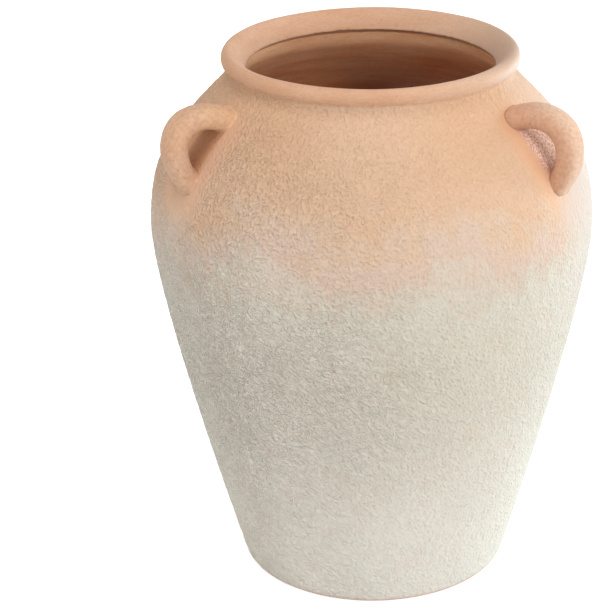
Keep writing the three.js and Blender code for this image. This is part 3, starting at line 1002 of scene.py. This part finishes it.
# %% Bare clay materials
def bare_clay(name, body, pale, dark, streak, deep=None, across=(), sunlit=None, coated=False):
    """Bare fired clay. A streak above 1 draws its marks out level, as the wheel does. Deep
    colours, painted shade and painted light, take over below the neck, across mixes in
    tones over ranges of X in millimetres, which paint light and shade, sunlit paints light
    on the outer face of the right strap, and coated lets the slip creep up from below."""
    material, tree, shader = new_material(name, 0.85)
    where, side, height = position(tree)
    level = stretched(tree, where, (1, 1, streak))
    patches = span(tree, noise(tree, level, 24 * MM, 4.0), 0.35, 0.68)
    colour = mixed(tree, patches, body, pale)
    if deep:
        colour = inside_tone(tree, shader, where, side, height, colour, deep)
    for low, high, tone in across:
        colour = mixed(tree, span(tree, side, low * MM, high * MM), colour, tone)
    # Painted light on the outer face of the right strap.
    if sunlit:
        share = product(tree, attribute(tree, "outer"), span(tree, side, 84 * MM, 98 * MM, 0, 0.34))
        colour = mixed(tree, share, colour, sunlit)
    flecks = span(tree, noise(tree, level, 2.2 * MM, 3.0), 0.42, 0.6, 0, 0.28)
    colour = mixed(tree, flecks, colour, dark, "MULTIPLY")
    cells = add_node(tree, "ShaderNodeTexVoronoi", {"Vector": where}, scale=1 / (5.5 * MM))
    pore = span(tree, cells.outputs["Distance"], 0.10, 0.055)
    colour = mixed(tree, math_node(tree, "MULTIPLY", pore, 0.8), colour, dark, "MULTIPLY")
    broken = span(tree, noise(tree, where, 5 * MM, 3.0), 0.35, 0.6, 0.1, 1)
    # The brown luting line, darkened as painted shade in the crease where the strap meets the wall.
    colour = mixed(tree, product(tree, attribute(tree, "luting_and_crease_shade"), broken), colour, "#935F43")
    soft = noise(tree, level, 3.0 * MM, 4.0)
    heights = math_node(tree, "SUBTRACT", soft, math_node(tree, "MULTIPLY", pore, 0.6))
    normal = bumped(tree, heights, 0.35, 0.5 * MM)
    if coated:
        colour, normal = rim_finish(tree, where, side, height, colour, normal)
    tree.links.new(colour, shader.inputs["Base Color"])
    tree.links.new(normal, shader.inputs["Normal"])
    return material


# The rim is painted lighter towards the right, as painted light from the right.
SPONGED_CLAY = bare_clay("sponged_terracotta", "#C89D7F", "#CEA68A", "#E8D4C6", 4.0,
                         across=[(10, 85, "#D2B29A")], coated=True)
# The left strap's upper root is painted paler as painted light, and the right strap darker as painted
# shade.
STRAP_CLAY = bare_clay("wiped_strap_terracotta", "#CDA588", "#D1AF94", "#D9B9A2", 1.0,
                       across=[(-97, -87, "#DAB391"), (10, 85, "#C79D82")], sunlit="#E3CDB8")
# Depth tones: painted shade of the depth, painted shade in the middle of the far wall, and painted light
# where light falls in.
THROWN_CLAY = bare_clay("thrown_terracotta_inside", "#F8C498", "#FCD3AC", "#E4C8B0", 5.0,
                        deep=("#D18A54", "#7E3F18", "#F8E4D6"))
RAW_UNDERSIDE = bare_clay("raw_terracotta_underside", "#CFA084", "#D9AF95", "#D8BCA8", 1.0)
print("materials:", [material.name for material in bpy.data.materials])

# %% Dress the pieces
for piece, node in ((base, "base"), (lower_wall, "lower_wall"), (shoulder_wall, "shoulder_wall")):
    for material in (SLIP, THROWN_CLAY, RAW_UNDERSIDE):
        piece.data.materials.append(material)
    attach(piece, "root")
    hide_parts(node)
for piece, node in [(rim, "rim_ring")] + [(piece, node) for node, piece in straps.items()]:
    piece.data.materials.append(SPONGED_CLAY if node == "rim_ring" else STRAP_CLAY)
    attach(piece, "root")
    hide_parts(node)

# %% [markdown]
# ## Studio
# The vase stands on a white sweep. The floor keeps its soft shadow, and it is lifted to
# white for the camera only, so that it adds no light to the clay. A small key lamp stands
# in front on the right, which draws out the relief. Three larger and weaker ones, on the
# left, above and on the right, soften it together with the pale surroundings, and a
# cool one behind on the right clears the far edge.

# %% Floor and surroundings
def studio_floor():
    """A wide flat sheet of white paper."""
    size = 12.0
    points = np.array([(-size, -size, 0), (size, -size, 0), (size, size, 0), (-size, size, 0)])
    floor = add_mesh("studio_floor", points, [(0, 1, 2, 3)], [0])
    material, tree, shader = new_material("white_paper_sweep", 0.9)
    shader.inputs["Base Color"].default_value = linear("#F2F2F2")
    seen = add_node(tree, "ShaderNodeLightPath").outputs["Is Camera Ray"]
    tree.links.new(math_node(tree, "MULTIPLY", seen, 0.6), shader.inputs["Emission Strength"])
    shader.inputs["Emission Color"].default_value = (1, 1, 1, 1)
    floor.data.materials.append(material)


def surroundings(strength):
    """A pale room: the camera and glossy rays see plain white, other rays a set strength."""
    world = bpy.data.worlds.new("pale_room")
    bpy.context.scene.world = world
    world.use_nodes = True
    tree = world.node_tree
    paths = add_node(tree, "ShaderNodeLightPath").outputs
    seen = math_node(tree, "MAXIMUM", paths["Is Camera Ray"],
                     math_node(tree, "MAXIMUM", paths["Is Glossy Ray"], paths["Is Transmission Ray"]))
    backdrop = tree.nodes["Background"]
    tree.links.new(mixed(tree, seen, linear("#FFFBF5"), (1.0, 1.0, 1.0, 1.0)), backdrop.inputs["Color"])
    tree.links.new(span(tree, seen, 0, 1, strength, 1), backdrop.inputs["Strength"])


def soft_lamp(name, place, aim, size, power, tint=(1, 1, 1)):
    """Square area lamp at a place, turned to face its aim."""
    lamp = bpy.data.lights.new(name, "AREA")
    lamp.shape = "SQUARE"
    lamp.size = size
    lamp.energy = power
    lamp.color = tint
    holder = bpy.data.objects.new(name, lamp)
    bpy.context.scene.collection.objects.link(holder)
    holder.location = place
    holder.rotation_euler = (Vector(aim) - Vector(place)).to_track_quat("-Z", "Y").to_euler()


studio_floor()
surroundings(0.47)
AIM = (0, 0, 0.17)  # a little above the middle of the vase
soft_lamp("key_lamp", (1.05, -1.65, 1.25), AIM, 0.5, 14.8)
soft_lamp("left_lamp", (-1.5, -1.2, 0.7), AIM, 0.8, 7.2, (1, 0.98, 0.94))
soft_lamp("top_lamp", (-0.3, -0.55, 1.95), AIM, 1.0, 12.0)
soft_lamp("right_lamp", (1.8, -0.4, 0.65), AIM, 0.8, 8.4)
soft_lamp("edge_lamp", (1.5, 1.0, 0.45), AIM, 1.0, 24, (0.75, 0.92, 1))

# %% [markdown]
# ## Camera
# The photograph was taken from about 1.3 m with a long lens, looking down by 23 degrees.
# The vase stands right of its middle, which a shift of the lens gives without turning
# the view, and the camera leans by less than half a degree.

# %% Camera
ELEVATION = math.radians(23.37)
DISTANCE = 1.2689
ROLL = math.radians(0.40)
VIEW_HEIGHT = 0.16
PICTURE = (599, 614)
AXIS_PIXEL = (372.3, 302.4)  # where the point at the view height on the axis shows
FOCAL_PIXELS = 2110

lens = bpy.data.cameras.new("photo_camera")
lens.sensor_width = 36
lens.lens = FOCAL_PIXELS * lens.sensor_width / max(PICTURE)
lens.shift_x = (PICTURE[0] / 2 - AXIS_PIXEL[0]) / max(PICTURE)
lens.shift_y = (AXIS_PIXEL[1] - PICTURE[1] / 2) / max(PICTURE)
camera = bpy.data.objects.new("photo_camera", lens)
bpy.context.scene.collection.objects.link(camera)
camera.location = (0, -DISTANCE * math.cos(ELEVATION),
                   VIEW_HEIGHT + DISTANCE * math.sin(ELEVATION))
looking = (Vector((0, 0, VIEW_HEIGHT)) - camera.location).to_track_quat("-Z", "Y").to_matrix()
camera.rotation_euler = (looking @ Matrix.Rotation(-ROLL, 3, "Z")).to_euler()
bpy.context.scene.camera = camera
bpy.context.scene.view_settings.view_transform = "Standard"
print("lens", round(lens.lens, 1), "mm")
